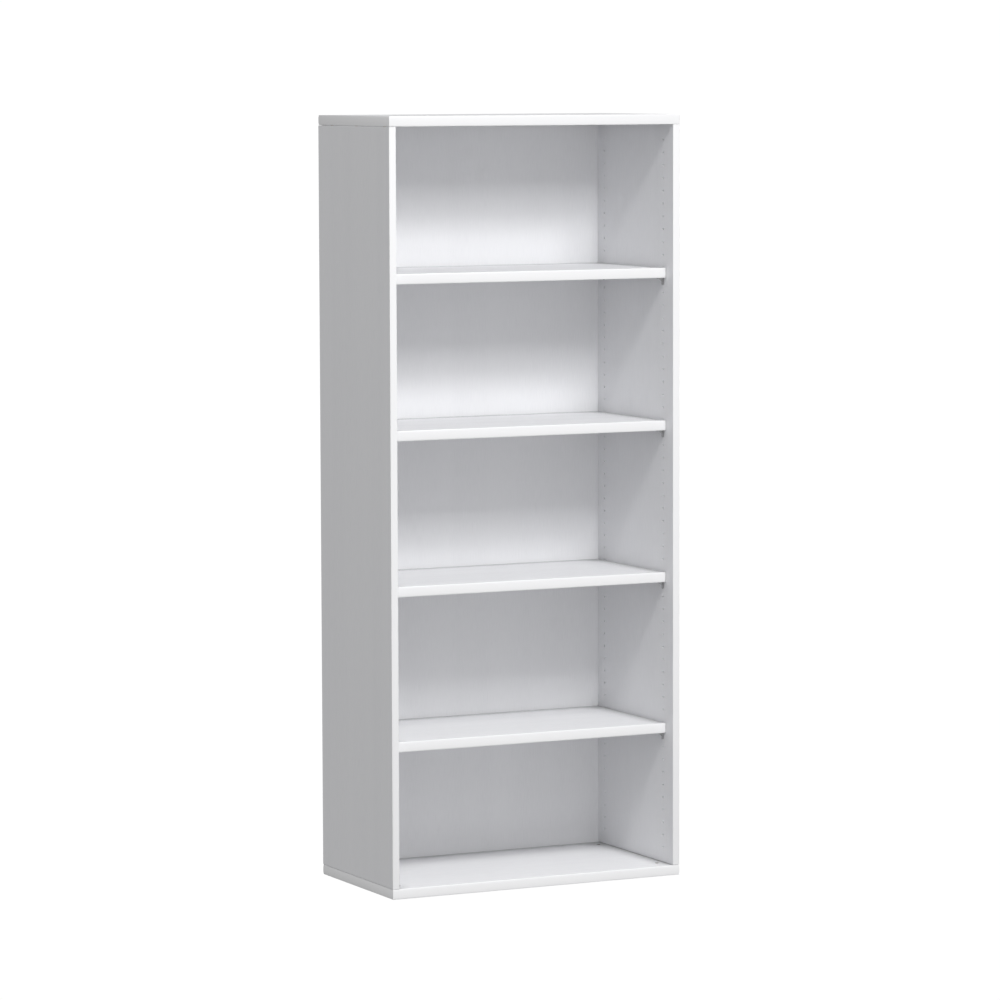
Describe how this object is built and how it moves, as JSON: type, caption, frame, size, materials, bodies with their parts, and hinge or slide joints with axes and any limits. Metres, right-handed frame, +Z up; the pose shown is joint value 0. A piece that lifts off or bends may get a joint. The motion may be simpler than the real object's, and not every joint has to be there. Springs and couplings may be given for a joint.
{
  "type": "bookcase with adjustable shelves",
  "caption": "Tall open bookcase of white faced board with loose shelves on plug-in supports in rows of pin holes.",
  "frame": {"origin": "on the floor, under the centre of the bookcase", "axes": "+Z up, +Y from the open front to the back panel, +X to the right as seen from the front"},
  "size_m": [0.8, 0.42, 1.922],
  "materials": {
    "faced_board": "white melamine facing with a faint vertical wood pore, on chipboard",
    "edge_band": "satin white ABS edge band, corners rounded",
    "support_metal": "satin nickel-plated zinc casting",
    "dowel_wood": "plain beech, fluted",
    "plated_steel": "zinc-plated steel",
    "foot_plastic": "black moulded plastic"
  },
  "bodies": {
    "carcass": {"top_panel": "faced_board", "bottom_panel": "faced_board", "left_side_panel": "faced_board", "right_side_panel": "faced_board", "back_panel": "faced_board", "top_front_edge_band": "edge_band", "top_left_edge_band": "edge_band", "top_right_edge_band": "edge_band", "bottom_front_edge_band": "edge_band", "bottom_left_edge_band": "edge_band", "bottom_right_edge_band": "edge_band", "left_side_edge_band": "edge_band", "right_side_edge_band": "edge_band", "bottom_dowel_left_1": "dowel_wood", "bottom_dowel_left_2": "dowel_wood", "bottom_dowel_left_3": "dowel_wood", "bottom_dowel_right_1": "dowel_wood", "bottom_dowel_right_2": "dowel_wood", "bottom_dowel_right_3": "dowel_wood", "top_dowel_left_1": "dowel_wood", "top_dowel_left_2": "dowel_wood", "top_dowel_left_3": "dowel_wood", "top_dowel_right_1": "dowel_wood", "top_dowel_right_2": "dowel_wood", "top_dowel_right_3": "dowel_wood", "foot_sleeve_left_front": "plated_steel", "foot_sleeve_left_rear": "plated_steel", "foot_sleeve_right_front": "plated_steel", "foot_sleeve_right_rear": "plated_steel"},
    "shelf_1": {"shelf_1": "faced_board", "shelf_1_edge_band": "edge_band"},
    "shelf_2": {"shelf_2": "faced_board", "shelf_2_edge_band": "edge_band"},
    "shelf_3": {"shelf_3": "faced_board", "shelf_3_edge_band": "edge_band"},
    "shelf_4": {"shelf_4": "faced_board", "shelf_4_edge_band": "edge_band"},
    "shelf_1_support_left_front": {"shelf_1_support_left_front": "support_metal"},
    "shelf_1_support_left_rear": {"shelf_1_support_left_rear": "support_metal"},
    "shelf_1_support_right_front": {"shelf_1_support_right_front": "support_metal"},
    "shelf_1_support_right_rear": {"shelf_1_support_right_rear": "support_metal"},
    "shelf_2_support_left_front": {"shelf_2_support_left_front": "support_metal"},
    "shelf_2_support_left_rear": {"shelf_2_support_left_rear": "support_metal"},
    "shelf_2_support_right_front": {"shelf_2_support_right_front": "support_metal"},
    "shelf_2_support_right_rear": {"shelf_2_support_right_rear": "support_metal"},
    "shelf_3_support_left_front": {"shelf_3_support_left_front": "support_metal"},
    "shelf_3_support_left_rear": {"shelf_3_support_left_rear": "support_metal"},
    "shelf_3_support_right_front": {"shelf_3_support_right_front": "support_metal"},
    "shelf_3_support_right_rear": {"shelf_3_support_right_rear": "support_metal"},
    "shelf_4_support_left_front": {"shelf_4_support_left_front": "support_metal"},
    "shelf_4_support_left_rear": {"shelf_4_support_left_rear": "support_metal"},
    "shelf_4_support_right_front": {"shelf_4_support_right_front": "support_metal"},
    "shelf_4_support_right_rear": {"shelf_4_support_right_rear": "support_metal"},
    "levelling_foot_left_front": {"levelling_foot_left_front": "foot_plastic"},
    "levelling_foot_left_rear": {"levelling_foot_left_rear": "foot_plastic"},
    "levelling_foot_right_front": {"levelling_foot_right_front": "foot_plastic"},
    "levelling_foot_right_rear": {"levelling_foot_right_rear": "foot_plastic"}
  },
  "joints": [
    {"name": "shelf_1_slide", "type": "slide", "parent": "carcass", "child": "shelf_1", "axis": [0, -1, 0], "range_m": [0, 0.42]},
    {"name": "shelf_2_slide", "type": "slide", "parent": "carcass", "child": "shelf_2", "axis": [0, -1, 0], "range_m": [0, 0.42]},
    {"name": "shelf_3_slide", "type": "slide", "parent": "carcass", "child": "shelf_3", "axis": [0, -1, 0], "range_m": [0, 0.42]},
    {"name": "shelf_4_slide", "type": "slide", "parent": "carcass", "child": "shelf_4", "axis": [0, -1, 0], "range_m": [0, 0.42]},
    {"name": "shelf_1_support_left_front_pull", "type": "slide", "parent": "carcass", "child": "shelf_1_support_left_front", "axis": [1, 0, 0], "range_m": [0, 0.012]},
    {"name": "shelf_1_support_left_rear_pull", "type": "slide", "parent": "carcass", "child": "shelf_1_support_left_rear", "axis": [1, 0, 0], "range_m": [0, 0.012]},
    {"name": "shelf_1_support_right_front_pull", "type": "slide", "parent": "carcass", "child": "shelf_1_support_right_front", "axis": [-1, 0, 0], "range_m": [0, 0.012]},
    {"name": "shelf_1_support_right_rear_pull", "type": "slide", "parent": "carcass", "child": "shelf_1_support_right_rear", "axis": [-1, 0, 0], "range_m": [0, 0.012]},
    {"name": "shelf_2_support_left_front_pull", "type": "slide", "parent": "carcass", "child": "shelf_2_support_left_front", "axis": [1, 0, 0], "range_m": [0, 0.012]},
    {"name": "shelf_2_support_left_rear_pull", "type": "slide", "parent": "carcass", "child": "shelf_2_support_left_rear", "axis": [1, 0, 0], "range_m": [0, 0.012]},
    {"name": "shelf_2_support_right_front_pull", "type": "slide", "parent": "carcass", "child": "shelf_2_support_right_front", "axis": [-1, 0, 0], "range_m": [0, 0.012]},
    {"name": "shelf_2_support_right_rear_pull", "type": "slide", "parent": "carcass", "child": "shelf_2_support_right_rear", "axis": [-1, 0, 0], "range_m": [0, 0.012]},
    {"name": "shelf_3_support_left_front_pull", "type": "slide", "parent": "carcass", "child": "shelf_3_support_left_front", "axis": [1, 0, 0], "range_m": [0, 0.012]},
    {"name": "shelf_3_support_left_rear_pull", "type": "slide", "parent": "carcass", "child": "shelf_3_support_left_rear", "axis": [1, 0, 0], "range_m": [0, 0.012]},
    {"name": "shelf_3_support_right_front_pull", "type": "slide", "parent": "carcass", "child": "shelf_3_support_right_front", "axis": [-1, 0, 0], "range_m": [0, 0.012]},
    {"name": "shelf_3_support_right_rear_pull", "type": "slide", "parent": "carcass", "child": "shelf_3_support_right_rear", "axis": [-1, 0, 0], "range_m": [0, 0.012]},
    {"name": "shelf_4_support_left_front_pull", "type": "slide", "parent": "carcass", "child": "shelf_4_support_left_front", "axis": [1, 0, 0], "range_m": [0, 0.012]},
    {"name": "shelf_4_support_left_rear_pull", "type": "slide", "parent": "carcass", "child": "shelf_4_support_left_rear", "axis": [1, 0, 0], "range_m": [0, 0.012]},
    {"name": "shelf_4_support_right_front_pull", "type": "slide", "parent": "carcass", "child": "shelf_4_support_right_front", "axis": [-1, 0, 0], "range_m": [0, 0.012]},
    {"name": "shelf_4_support_right_rear_pull", "type": "slide", "parent": "carcass", "child": "shelf_4_support_right_rear", "axis": [-1, 0, 0], "range_m": [0, 0.012]},
    {"name": "levelling_foot_left_front_travel", "type": "slide", "parent": "carcass", "child": "levelling_foot_left_front", "axis": [0, 0, -1], "range_m": [0, 0.012]},
    {"name": "levelling_foot_left_rear_travel", "type": "slide", "parent": "carcass", "child": "levelling_foot_left_rear", "axis": [0, 0, -1], "range_m": [0, 0.012]},
    {"name": "levelling_foot_right_front_travel", "type": "slide", "parent": "carcass", "child": "levelling_foot_right_front", "axis": [0, 0, -1], "range_m": [0, 0.012]},
    {"name": "levelling_foot_right_rear_travel", "type": "slide", "parent": "carcass", "child": "levelling_foot_right_rear", "axis": [0, 0, -1], "range_m": [0, 0.012]}
  ]
}
